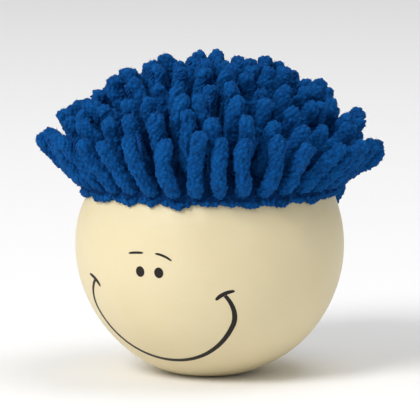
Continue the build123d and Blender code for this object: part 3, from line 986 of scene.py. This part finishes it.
@dataclass
class FoamBall:
    """The foam core and the painted skin round it."""

    form: BallForm
    squeeze: Squeeze
    divisions: int = 6
    cell_size: float = 1.1
    cell_depth: float = 0.05
    skin_gap: float = 0.02
    base_blend: float = 4.0  # how far up the base's thickening reaches, in skin thicknesses
    pieces: list[bpy.types.Object] = field(default_factory=list)

    def directions(self) -> tuple[np.ndarray, np.ndarray]:
        """Evenly spread directions from the centre, and the triangles that join them."""
        mesh = bmesh.new()
        bmesh.ops.create_icosphere(mesh, subdivisions=self.divisions, radius=1.0)
        mesh.verts.ensure_lookup_table()
        points = np.array([vertex.co[:] for vertex in mesh.verts])
        faces = np.array([[vertex.index for vertex in face.verts] for face in mesh.faces])
        mesh.free()
        return normalised(points), faces

    def build(self) -> None:
        """Builds both pieces."""
        directions, faces = self.directions()
        outer = self.form.surface(directions)
        inner = self.form.surface(directions, -self.form.skin)
        thickened = inner[:, 2] / (self.base_blend * self.form.skin)
        inner[:, 2] += self.form.skin * (1 - smoothstep(thickened))
        skin = Shape(np.concatenate([outer, inner]), [faces, faces[:, ::-1] + len(outer)])
        centre = self.form.centre
        cells = self.cell_depth * (1 + ripple(directions * self.form.radius, self.cell_size, 21)) / 2
        foam = centre + (inner - centre) * (1 - (self.skin_gap + cells) / self.form.radius)[:, None]
        core = Shape(foam, [faces])
        self.pieces = [skin.to_object("skin_of_cream_paint"), core.to_object("moulded_foam")]

    def dress(self) -> None:
        """Gives both pieces their finish and their motion."""
        skin, foam = self.pieces
        finished(skin, PAINT, "painted_skin", "painted_skin")
        finished(foam, FOAM, "foam", "foam_core")
        for piece in self.pieces:
            self.squeeze.flatten(piece, "ball")


@dataclass(frozen=True)
class PenStroke:
    """A printed mark: a line in the drawing's plane and the pen's width along it."""

    line: np.ndarray
    widths: np.ndarray
    closed: bool = False
    stand: float = 0.045
    sink: float = 0.03
    edge_fall: float = 0.35

    def film(self, form: BallForm, side: Side, across: int = 7) -> Shape:
        """The mark as a thin closed film that follows the ball.

        Args:
            form: the ball that it is printed on.
            side: the side of the ball that the drawing faces.
            across: points across the stroke.

        Returns:
            The film.
        """
        run = np.gradient(self.line, axis=0)
        if self.closed:
            run = np.roll(self.line, -1, axis=0) - np.roll(self.line, 1, axis=0)
        normal = normalised(np.stack([-run[:, 1], run[:, 0]], axis=-1))
        share = np.linspace(-0.5, 0.5, across)
        flat = self.line[:, None] + normal[:, None] * (share[None, :, None] * self.widths[:, None, None])
        x, z = flat[..., 0].ravel() / form.radius, flat[..., 1].ravel() / form.radius
        depth = np.sqrt(np.clip(1 - x**2 - z**2, 0, None))
        directions = np.stack([-side.value * x, side.value * depth, z], axis=-1)
        edge = np.abs(np.tile(share, len(self.line))) * 2
        lift = self.stand * (1 - self.edge_fall * edge**4)
        top = form.surface(directions) + directions * lift[:, None]
        bottom = form.surface(directions, -self.sink)
        count = len(self.line)
        return Shape(np.concatenate([top, bottom]), [self.grid_faces(count, across)])

    def grid_faces(self, count: int, across: int) -> np.ndarray:
        """The faces of a film: its top, its underside and its sides.

        Args:
            count: points along the stroke.
            across: points across it.

        Returns:
            Corner numbers, four to a row.
        """
        ring = np.arange(count if self.closed else count - 1)[:, None]
        after = (ring + 1) % count
        step = np.arange(across - 1)[None]
        top = np.stack([ring * across + step, after * across + step, after * across + step + 1,
                        ring * across + step + 1], axis=-1).reshape(-1, 4)
        under = top[:, ::-1] + count * across
        sides = []
        for column, flip in ((0, True), (across - 1, False)):
            low, high = ring.ravel() * across + column, after.ravel() * across + column
            wall = np.stack([low, high, high + count * across, low + count * across], axis=-1)
            sides.append(wall if flip else wall[:, ::-1])
        if not self.closed:
            for row, flip in ((0, False), (count - 1, True)):
                low, high = row * across + step.ravel(), row * across + step.ravel() + 1
                wall = np.stack([low, high, high + count * across, low + count * across], axis=-1)
                sides.append(wall if flip else wall[:, ::-1])
        return np.concatenate([top, under, *sides])


def oval(centre: tuple[float, float], width: float, height: float, turn: float = 0.0,
         steps: int = 40) -> PenStroke:
    """A filled oval, drawn as one stroke up its middle.

    Args:
        centre: its middle in the drawing.
        width: across the stroke.
        height: along the stroke.
        turn: how far it is turned, in radians.
        steps: points along the stroke.

    Returns:
        The stroke.
    """
    angles = np.linspace(0, math.pi, steps)
    angles[[0, -1]] = angles[[1, -2]] * 0.3 + angles[[0, -1]] * 0.7
    up = np.array([-math.sin(turn), math.cos(turn)])
    line = np.array(centre) + up * (-np.cos(angles) * height / 2)[:, None]
    return PenStroke(line, np.sin(angles) * width)


def pen_widths(count: int, width: float, ends: float = 0.45) -> np.ndarray:
    """A stroke's widths, drawn in towards both ends."""
    share = np.linspace(-1, 1, count)
    return width * (ends + (1 - ends) * (1 - share**4)) * np.sqrt(np.clip(1.02 - share**20, 0, 1))


@dataclass
class PrintedFace:
    """The face: two oval eyes, two brows, a wide smile and a short tick across each end of it."""

    form: BallForm
    squeeze: Squeeze
    eye_width: float = 2.25
    eye_height: float = 2.5
    eye_spacing: float = 4.8
    eye_drop: float = 2.8
    brow_lift: float = 4.4
    brow_inner: float = 1.5
    brow_outer: float = 5.6
    brow_width: float = 0.55
    brow_shapes: tuple[tuple[float, float], ...] = ((0.35, 0.1), (1.5, 0.35))  # droop and arch
    smile_radius: float = 19.8
    smile_drop: float = 5.4
    smile_half: float = 62.0
    smile_end_radius: float = 7.0
    smile_end: float = 126.0
    smile_tilt: float = -2.5
    smile_thick: float = 0.95
    smile_thin: float = 0.75
    bold_at: float = 0.84
    bold_spread: float = 0.16
    dimple_length: float = 4.6
    dimple_width: float = 0.85
    dimple_bow: float = 0.2
    dimple_aim: int = 8  # steps back along the smile
    steps: int = 220
    films: dict[str, Shape] = field(default_factory=dict)

    def smile_line(self) -> np.ndarray:
        """The smile's line, from its left end to its right."""
        angles = np.linspace(-self.smile_end, self.smile_end, self.steps)
        on_end = np.abs(angles) > self.smile_half
        wide = np.radians(np.minimum(np.abs(angles), self.smile_half))
        turn = np.radians(np.abs(angles))
        reach = np.where(on_end, self.smile_radius - self.smile_end_radius, self.smile_radius)
        close = np.where(on_end, self.smile_end_radius, 0)
        x = (reach * np.sin(wide) + close * np.sin(turn)) * np.sign(angles)
        z = -reach * np.cos(wide) - close * np.cos(turn) - self.smile_drop
        tilt = math.radians(self.smile_tilt)
        level, rise = math.cos(tilt), math.sin(tilt)
        return np.stack([x * level - z * rise, x * rise + z * level], axis=-1)

    def brow(self, side: int, droop: float, arch: float) -> PenStroke:
        """One brow, on the left (-1) or right (1) of the face."""
        share = np.linspace(0, 1, 36)
        x = side * (self.brow_inner + (self.brow_outer - self.brow_inner) * share)
        z = self.brow_lift - self.eye_drop - droop * share + 4 * arch * share * (1 - share)
        return PenStroke(np.stack([x, z], axis=-1), pen_widths(len(share), self.brow_width))

    def dimple(self, end: np.ndarray, beyond: np.ndarray) -> PenStroke:
        """The short bowed tick across one end of the smile."""
        run = normalised(end - beyond)
        across = np.array([-run[1], run[0]])
        share = np.linspace(-1, 1, 30)
        half = self.dimple_length / 2
        bow = (1 - share**2) * self.dimple_bow * half
        line = end + across * (share * half)[:, None] + run * bow[:, None]
        return PenStroke(line, pen_widths(len(share), self.dimple_width))

    def build(self) -> None:
        """Draws every mark of the face."""
        line = self.smile_line()
        share = np.linspace(0, 1, self.steps)
        bold = np.exp(-(((share - self.bold_at) / self.bold_spread) ** 2))
        half = self.eye_spacing / 2
        marks = {
            "eye_left": oval((-half, -self.eye_drop), self.eye_width, self.eye_height),
            "eye_right": oval((half, -self.eye_drop), self.eye_width, self.eye_height),
            "brow_left": self.brow(-1, *self.brow_shapes[0]),
            "brow_right": self.brow(1, *self.brow_shapes[1]),
            "smile": PenStroke(line, self.smile_thin + (self.smile_thick - self.smile_thin) * bold),
            "dimple_left": self.dimple(line[0], line[self.dimple_aim]),
            "dimple_right": self.dimple(line[-1], line[-1 - self.dimple_aim]),
        }
        self.films = {name: mark.film(self.form, Side.FRONT) for name, mark in marks.items()}

    def dress(self) -> None:
        """Gives the marks their ink and their motion."""
        for name, film in self.films.items():
            piece = finished(film.to_object(f"print_{name}"), FACE_INK, "face_ink", name)
            self.squeeze.flatten(piece, "ball")


@dataclass
class BackRosette:
    """The plain rosette printed on the back: a ring, eight petals and a middle dot."""

    form: BallForm
    squeeze: Squeeze
    drop: float = 8.0
    ring_radius: float = 13.0
    ring_width: float = 0.9
    petals: int = 8
    petal_reach: float = 6.7
    petal_length: float = 7.6
    petal_width: float = 3.5
    dot_radius: float = 1.8
    points_across: int = 11
    print_shape: Shape | None = None

    def build(self) -> None:
        """Draws the rosette."""
        middle = np.array([0, -self.drop])
        turns = np.linspace(0, 2 * math.pi, 180, endpoint=False)
        radius = self.ring_radius - self.ring_width / 2
        ring = middle + radius * np.stack([np.cos(turns), np.sin(turns)], axis=-1)
        strokes = [PenStroke(ring, np.full(len(ring), self.ring_width), closed=True),
                   oval(tuple(middle), 2 * self.dot_radius, 2 * self.dot_radius)]
        for petal in range(self.petals):
            turn = 2 * math.pi * petal / self.petals
            reach = middle + self.petal_reach * np.array([-math.sin(turn), math.cos(turn)])
            strokes.append(oval(tuple(reach), self.petal_width, self.petal_length, turn))
        films = [stroke.film(self.form, Side.BACK, across=self.points_across) for stroke in strokes]
        self.print_shape = Shape.joined(films)

    def dress(self) -> None:
        """Gives the rosette its ink and its motion."""
        piece = finished(self.print_shape.to_object("print_rosette"), MARK_INK, "mark_ink", "back_rosette")
        self.squeeze.flatten(piece, "ball")


@dataclass
class MopCap:
    """The glue, the backing cloth with its short pile, its fluffy cut edge and the tufting threads in it."""

    layout: MopLayout
    squeeze: Squeeze
    rings: int = 96
    around: int = 460
    nub_gap: float = 0.95
    nub_height: float = 0.5
    nub_spread: float = 0.72
    nub_jitter: float = 0.1
    nub_strength: tuple[float, float] = (0.5, 1.2)
    short_pile: float = 0.55
    cloth_sink: float = 0.15
    cloth_gap: float = 0.01
    edge_radius: float = 0.78
    edge_depth: float = 0.75
    edge_wave: float = 0.4
    edge_waves: tuple[float, float] = (7.5, 2.6)
    edge_swell: float = 0.16
    edge_swell_wave: float = 4.0
    edge_circle: float = 30.0
    edge_nub: float = 0.5
    edge_nub_gap: float = 0.8
    edge_sink: float = 0.12
    edge_roughness: float = 0.05
    edge_around: int = 900
    edge_segments: int = 26
    edge_fibres: int = 2600
    edge_fibre_length: float = 0.55
    glue_waves: tuple[tuple[float, float], ...] = ((0.4, 12.0), (0.15, 3.0))  # height and length of each
    glue_margins: tuple[float, float] = (0.3, 2.0)
    glue_gap: float = 0.03
    glue_ripple: float = 0.02
    glue_ripple_wave: float = 5.0
    thread: TwistedThread = field(default_factory=lambda: TwistedThread(0.1, 2, 0.9, 6))
    thread_step: float = 0.3
    stitch_length: float = 2.6
    stitch_depth: float = 0.28
    crown_stitch: float = 1.2
    cloth: bpy.types.Object | None = None
    edge: bpy.types.Object | None = None
    glue: bpy.types.Object | None = None
    stitches: dict[str, bpy.types.Object] = field(default_factory=dict)

    def dome(self, reach: np.ndarray, polar_limit: np.ndarray, inner: np.ndarray) -> Shape:
        """A closed cap: an outer and an inner surface joined at the rim.

        Args:
            reach: outer radius at each grid point, pole first.
            polar_limit: the rim's polar angle in degrees at each step around.
            inner: inner radius at each grid point.

        Returns:
            The cap.
        """
        directions = self.grid(polar_limit)
        centre = self.layout.ball.centre
        outside = centre + directions * reach[:, None]
        inside = centre + directions * inner[:, None]
        count = len(directions)
        quads = ring_quads(self.rings, self.around) + 1
        top = fan(1, self.around, 0, False)[:, ::-1]
        last = 1 + (self.rings - 1) * self.around + np.arange(self.around)
        beside = np.roll(last, -1)
        rim = np.stack([last, last + count, beside + count, beside], axis=-1)
        faces = [quads[:, ::-1], top, quads + count, top[:, ::-1] + count, rim[:, ::-1]]
        return Shape(np.concatenate([outside, inside]), faces)

    def grid(self, polar_limit: np.ndarray) -> np.ndarray:
        """Directions of a cap's grid: the pole, then ring by ring down to the rim."""
        share = np.arange(1, self.rings + 1)[:, None] / self.rings
        polar = np.radians(share * polar_limit[None])
        turns = np.linspace(0, 2 * math.pi, self.around, endpoint=False)[None] + 0 * polar
        across, up = np.sin(polar), np.cos(polar)
        ring = np.stack([across * np.cos(turns), across * np.sin(turns), up], axis=-1)
        return np.concatenate([[[0, 0, 1]], ring.reshape(-1, 3)])

    def nub_field(self, directions: np.ndarray, gap: float, seed: int) -> np.ndarray:
        """Pile nubs spread evenly over a sphere.

        Args:
            directions: unit vectors from the ball's centre.
            gap: the space between nubs in millimetres.
            seed: picks each nub's place and strength.

        Returns:
            One value for each direction: 0 between the nubs and up to about 1 on them.
        """
        radius = self.layout.outer
        count = int(4 * math.pi * radius**2 / gap**2)
        order = np.arange(count)
        height = 1 - (2 * order + 1) / count
        flat = np.sqrt(1 - height**2)
        draw = np.random.default_rng(seed)
        jitter = draw.uniform(-self.nub_jitter, self.nub_jitter, count) / np.maximum(flat, 0.1) * 0.2
        turns = order * GOLDEN_TURN + jitter
        centres = np.stack([flat * np.cos(turns), flat * np.sin(turns), height], axis=-1) * radius
        strength = draw.uniform(*self.nub_strength, count)
        tree = KDTree(count)
        for index, centre in enumerate(centres):
            tree.insert(centre, index)
        tree.balance()
        values = np.zeros(len(directions))
        for index, point in enumerate(directions * radius):
            _, nearest, distance = tree.find(point)
            values[index] = max(0.0, 1 - (distance / gap / self.nub_spread) ** 2) * strength[nearest]
        return values

    def build_cloth(self) -> None:
        """Builds the backing cloth."""
        rim = np.full(self.around, 90 - self.layout.hairline)
        directions = self.grid(rim)
        nubs = self.nub_field(directions, self.nub_gap, 31)
        reach = self.layout.outer - self.cloth_sink + self.nub_height * nubs
        inner = np.full(len(directions), self.layout.glue_outer + self.cloth_gap)
        cap = self.dome(reach, rim, inner)
        # Painted shade: low nubs, and the hidden inside fully, take the finish's painted shade colour of the
        # pile's hollows.
        cap.values["pile_height"] = np.concatenate([self.short_pile * nubs, np.zeros(len(directions))])
        self.cloth = cap.to_object("backing_cloth_pile")

    def build_edge(self) -> None:
        """Builds the cloth's cut edge, fluffed out into a soft uneven roll."""
        around = np.linspace(0, 2 * math.pi, self.edge_around, endpoint=False)
        turn = np.linspace(0, 2 * math.pi, self.edge_segments, endpoint=False)
        circle = np.stack([np.cos(around), np.sin(around), np.zeros(self.edge_around)], axis=-1)
        upward = np.array([0, 0, 1])
        places = circle * self.edge_circle
        slow, quick = (ripple(places, wave, seed) for wave, seed in zip(self.edge_waves, (41, 42)))
        wander = self.edge_wave * slow + 0.5 * self.edge_wave * quick
        polar = math.radians(90 - self.layout.hairline) + wander / self.layout.outer
        outward = circle * np.sin(polar)[:, None] + upward * np.cos(polar)[:, None]
        down = circle * np.cos(polar)[:, None] - upward * np.sin(polar)[:, None]
        middle = self.layout.ball.centre + outward * (self.layout.outer - self.edge_depth)
        swell = self.edge_radius * (1 + self.edge_swell * ripple(places, self.edge_swell_wave, 43))
        normal = np.cos(turn)[None, :, None] * outward[:, None] + np.sin(turn)[None, :, None] * down[:, None]
        base = middle[:, None] + normal * swell[:, None, None]
        flat = base.reshape(-1, 3)
        nubs = self.nub_field(normalised(flat - self.layout.ball.centre), self.edge_nub_gap, 44)
        draw = np.random.default_rng(45)
        stand = self.edge_nub * nubs - self.edge_sink + draw.normal(0, self.edge_roughness, len(flat))
        points = flat + normal.reshape(-1, 3) * stand[:, None]
        # The nubs' pile height value sets the painted shade in the roll's hollows.
        roll = Shape(points, [ring_quads(self.edge_around, self.edge_segments, True)],
                     {"pile_height": np.clip(nubs, 0, 1)})
        fluff = ChenillePile(segments=self.edge_segments, fibres=self.edge_fibres,
                             fibre_length=self.edge_fibre_length)
        ends = fluff.fibre_ends(points, self.edge_around, draw)
        self.edge = Shape.joined([roll, ends]).to_object("hairline_fluff")

    def build_glue(self) -> bpy.types.Object:
        """Builds the glue layer with its uneven squeezed-out rim."""
        turns = np.linspace(0, 2 * math.pi, self.around, endpoint=False)
        circle = np.stack([np.cos(turns), np.sin(turns), np.zeros(self.around)], axis=-1) * self.layout.outer
        margin = self.layout.glue_margin
        for (height, length), seed in zip(self.glue_waves, (51, 52)):
            margin = margin + height * ripple(circle, length, seed)
        margin = np.clip(margin, *self.glue_margins)
        rim = 90 - self.layout.hairline - np.degrees(margin / self.layout.glue_outer)
        directions = self.grid(rim)
        ball = self.layout.ball
        inner = np.linalg.norm(ball.surface(directions, self.layout.bond_gap) - ball.centre, axis=1)
        uneven = self.glue_ripple * ripple(directions * self.layout.outer, self.glue_ripple_wave, 53)
        reach = self.layout.glue_outer - self.glue_gap + uneven
        return self.dome(reach, rim, inner).to_object("glue_under_mop")

    def build_stitch(self, polar: float, name: str) -> bpy.types.Object:
        """One row's tufting thread: a running stitch that dips in and out of the cloth.

        Args:
            polar: the row's polar angle in degrees.
            name: the object's name.

        Returns:
            The thread.
        """
        sphere = self.layout.outer - self.layout.backing / 2
        radius = max(sphere * math.sin(math.radians(polar)), self.crown_stitch)
        slope = math.asin(radius / sphere)
        count = max(3, round(2 * math.pi * radius / self.stitch_length))
        steps = max(60, int(2 * math.pi * radius / self.thread_step))
        turns = np.linspace(0, 2 * math.pi * (1 - 1 / steps), steps)
        outward = np.stack([np.sin(slope) * np.cos(turns), np.sin(slope) * np.sin(turns),
                            np.full(steps, math.cos(slope))], axis=-1)
        depth = sphere + self.stitch_depth * np.sin(turns * count)
        line = self.layout.ball.centre + outward * depth[:, None]
        return self.thread.along(line, np.array([0.0, 0.0, 1.0])).to_object(name)

    def build(self) -> None:
        """Builds the cloth, its edge, the glue and every row's stitching."""
        self.build_cloth()
        self.build_edge()
        self.glue = self.build_glue()
        rows = self.layout.rows()
        for row, (polar, _) in enumerate(rows):
            node = "stitch_crown" if row == len(rows) - 1 else f"stitch_row{row + 1}"
            self.stitches[node] = self.build_stitch(polar, f"tufting_{node}")

    def dress(self) -> None:
        """Gives the cap's pieces their finish and their motion."""
        finished(self.cloth, BACKING, "backing_cloth", "backing_cloth")
        finished(self.edge, CHENILLE, "chenille")
        finished(self.glue, GLUE, "glue", "glue_layer")
        for node, stitch in self.stitches.items():
            finished(stitch, THREAD, "thread", node)
        for piece in (self.cloth, self.edge, self.glue, *self.stitches.values()):
            self.squeeze.flatten(piece, "mop")


@dataclass
class Strands:
    """Every standing strand's pile and core yarn, gathered by the CAD node that they stand for."""

    layout: MopLayout
    squeeze: Squeeze
    pile: ChenillePile = field(default_factory=ChenillePile)
    yarn: TwistedThread = field(default_factory=lambda: TwistedThread(0.24))
    yarn_step: float = 0.3
    first_seed: int = 1000
    piles: dict[str, list[Shape]] = field(default_factory=dict)
    yarns: dict[str, list[Shape]] = field(default_factory=dict)
    pieces: list[bpy.types.Object] = field(default_factory=list)

    def build(self) -> None:
        """Grows every strand."""
        for strand in self.layout.strands():
            line = self.layout.centreline(strand)
            crossways = normalised(np.cross(strand.root, strand.lean + 1e-4))
            shape = self.pile.grow(line, self.first_seed + strand.number, crossways)
            self.piles.setdefault(self.layout.node_of(strand), []).append(shape)
            yarn = self.yarn.along(even_line(line, self.yarn_step), crossways)
            self.yarns.setdefault(self.layout.yarn_node_of(strand), []).append(yarn)

    def dress(self) -> None:
        """Gives the strands their finish and their motion."""
        for node, shapes in self.piles.items():
            pile = Shape.joined(shapes).to_object(node.replace("strands", "pile").replace("strand", "pile"))
            self.squeeze.flatten(finished(pile, CHENILLE, "chenille", node), "mop")
            self.pieces.append(pile)
        for node, shapes in self.yarns.items():
            yarn = Shape.joined(shapes).to_object(f"twisted_{node}")
            self.squeeze.flatten(finished(yarn, CORE_YARN, "core_yarn", node), "mop")


@dataclass
class LooseStrand:
    """The strand that hangs over the ball, its core yarn and the thread loop that it swings on."""

    layout: MopLayout
    squeeze: Squeeze
    pile: ChenillePile = field(default_factory=lambda: ChenillePile(radius=1.62, wander=0.25))
    yarn: TwistedThread = field(default_factory=lambda: TwistedThread(0.24))
    yarn_step: float = 0.3
    loop_thread: TwistedThread = field(default_factory=lambda: TwistedThread(0.16, 2, 1.0, 8))
    loop_step: float = 0.2
    loop_span: float = 4.2
    loop_corner: float = 0.4
    root_cover: float = 1.1
    seed: int = 977
    strand: bpy.types.Object | None = None
    core: bpy.types.Object | None = None
    loop: bpy.types.Object | None = None

    def build(self) -> None:
        """Builds the strand, its yarn and its loop."""
        line, axis = self.layout.loose_line()
        start = line[0] - normalised(line[1] - line[0]) * self.root_cover
        whole = np.concatenate([[start], line])
        self.strand = self.pile.grow(whole, self.seed, axis).to_object("loose_pile")
        self.core = self.yarn.along(even_line(line, self.yarn_step), axis).to_object("loose_core_yarn")
        outward = normalised(line[0] - self.layout.ball.centre)
        half, cut = self.loop_span / 2, self.loop_corner
        foot = self.layout.loose_root_gap + self.layout.rod_radius
        left = [(-half, -foot), (-half, -cut), (-half + cut, 0.0)]
        right = [(-across, up) for across, up in reversed(left)]
        path = np.array([line[0] + axis * across + outward * up for across, up in left + right])
        loop = self.loop_thread.along(even_line(path, self.loop_step), np.cross(axis, outward))
        self.loop = loop.to_object("loose_thread_loop")

    def dress(self) -> None:
        """Gives the strand's pieces their finish and their motion."""
        finished(self.strand, CHENILLE, "chenille", "loose_strand")
        finished(self.core, CORE_YARN, "core_yarn", "loose_strand_core")
        finished(self.loop, THREAD, "thread", "loose_strand_thread")
        self.squeeze.flatten(self.strand, "loose_strand")
        self.squeeze.flatten(self.core, "loose_strand")
        self.squeeze.flatten(self.loop, "mop")


@dataclass(frozen=True)
class Lamp:
    """One soft studio lamp, placed by azimuth, elevation and distance about the object."""

    name: str
    azimuth: float
    elevation: float
    distance: float
    size: float
    power: float
    colour: Colour = (1.0, 1.0, 1.0)

    def light(self, target: Vector) -> None:
        """Adds the lamp, turned to the target."""
        data = bpy.data.lights.new(self.name, "AREA")
        data.shape = "DISK"
        data.size = self.size
        data.energy = self.power
        data.color = self.colour
        lamp = bpy.data.objects.new(self.name, data)
        lamp.location = target + seen_from(self.azimuth, self.elevation) * self.distance
        lamp.rotation_euler = (target - lamp.location).to_track_quat("-Z", "Y").to_euler()
        bpy.context.scene.collection.objects.link(lamp)


def seen_from(azimuth: float, elevation: float) -> Vector:
    """The direction from the object to a viewer: azimuth 0 is in front of the face, and 90 along +X."""
    around, up = math.radians(azimuth), math.radians(elevation)
    return Vector((math.sin(around) * math.cos(up), -math.cos(around) * math.cos(up), math.sin(up)))


@dataclass
class Studio:
    """A plain pale floor, soft lamps and a long lens."""

    azimuth: float = 26.0
    elevation: float = 7.4
    distance: float = 0.9
    aim_height: float = 38.8
    field_width: float = 100.0
    sensor: float = 36.0
    floor_radius: float = 6.0
    floor_colour: Colour = (0.93, 0.93, 0.93)
    sky: float = 0.45
    lamps: tuple[Lamp, ...] = (
        Lamp("key", -16.0, 40.0, 2.2, 1.0, 31.0),
        Lamp("left_fill", -58.0, 14.0, 2.2, 1.6, 6.0),
        Lamp("top", 120.0, 76.0, 2.2, 1.2, 14.0),
    )

    def build(self) -> None:
        """Lays the floor, sets the lamps and places the camera."""
        self.lay_floor()
        target = Vector((0, 0, self.aim_height * MM))
        for lamp in self.lamps:
            lamp.light(target)
        self.place_camera(target)
        self.light_air()

    def light_air(self) -> None:
        """Fills the studio with an even pale light."""
        scene = bpy.context.scene
        scene.view_settings.view_transform = "Standard"
        world = bpy.data.worlds.new("studio_air")
        world.use_nodes = True
        background = world.node_tree.nodes["Background"]
        background.inputs["Color"].default_value = (1.0, 1.0, 1.0, 1.0)
        background.inputs["Strength"].default_value = self.sky
        scene.world = world

    def lay_floor(self) -> None:
        """A wide pale floor with a faint paper texture."""
        mesh = bpy.data.meshes.new("pale_floor")
        disc = bmesh.new()
        bmesh.ops.create_circle(disc, cap_ends=True, segments=96, radius=self.floor_radius)
        disc.to_mesh(mesh)
        disc.free()
        floor = bpy.data.objects.new("pale_floor", mesh)
        bpy.context.scene.collection.objects.link(floor)
        paper = SmoothFinish("pale_paper", self.floor_colour, self.floor_colour, self.floor_colour,
                             drift_scale=3.0, speck_scale=600.0, speck_amount=0.0, relief=0.00002,
                             rough_low=0.85, rough_high=0.9, specular=0.2)
        mesh.materials.append(paper.material())

    def place_camera(self, target: Vector) -> None:
        """A long lens at the viewing angle, level and centred on the object."""
        data = bpy.data.cameras.new("viewer")
        data.sensor_width = self.sensor
        data.lens = self.sensor * self.distance / (self.field_width * MM)
        data.clip_end = 50
        camera = bpy.data.objects.new("viewer", data)
        camera.location = target + seen_from(self.azimuth, self.elevation) * self.distance
        camera.rotation_euler = (target - camera.location).to_track_quat("-Z", "Y").to_euler()
        bpy.context.scene.collection.objects.link(camera)
        bpy.context.scene.camera = camera


def corners(bounds: object) -> list[list[float]]:
    """A box as plain lists of numbers."""
    return [[float(value) for value in corner] for corner in bounds]


def main() -> None:
    """Builds the ball, its prints, the mop and the studio."""
    logging.basicConfig(level=logging.INFO, format="%(name)s %(message)s")
    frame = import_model()
    form = BallForm()
    joint = next(joint for joint in frame["joints"] if joint["type"] == "slide")
    layout = MopLayout(form)
    loose_line, _ = layout.loose_line()
    squeeze = Squeeze(joint["name"], max(joint["range_m"]) / MM, float(loose_line[0][2]))
    Studio().build()
    strands = Strands(layout, squeeze)
    cap = MopCap(layout, squeeze)
    parts = [FoamBall(form, squeeze), PrintedFace(form, squeeze), BackRosette(form, squeeze), cap, strands,
             LooseStrand(layout, squeeze)]
    for part in parts:
        part.build()
        part.dress()
        LOG.info("%s is built", type(part).__name__)
    bpy.context.view_layer.update()


if __name__ == "__main__":
    main()
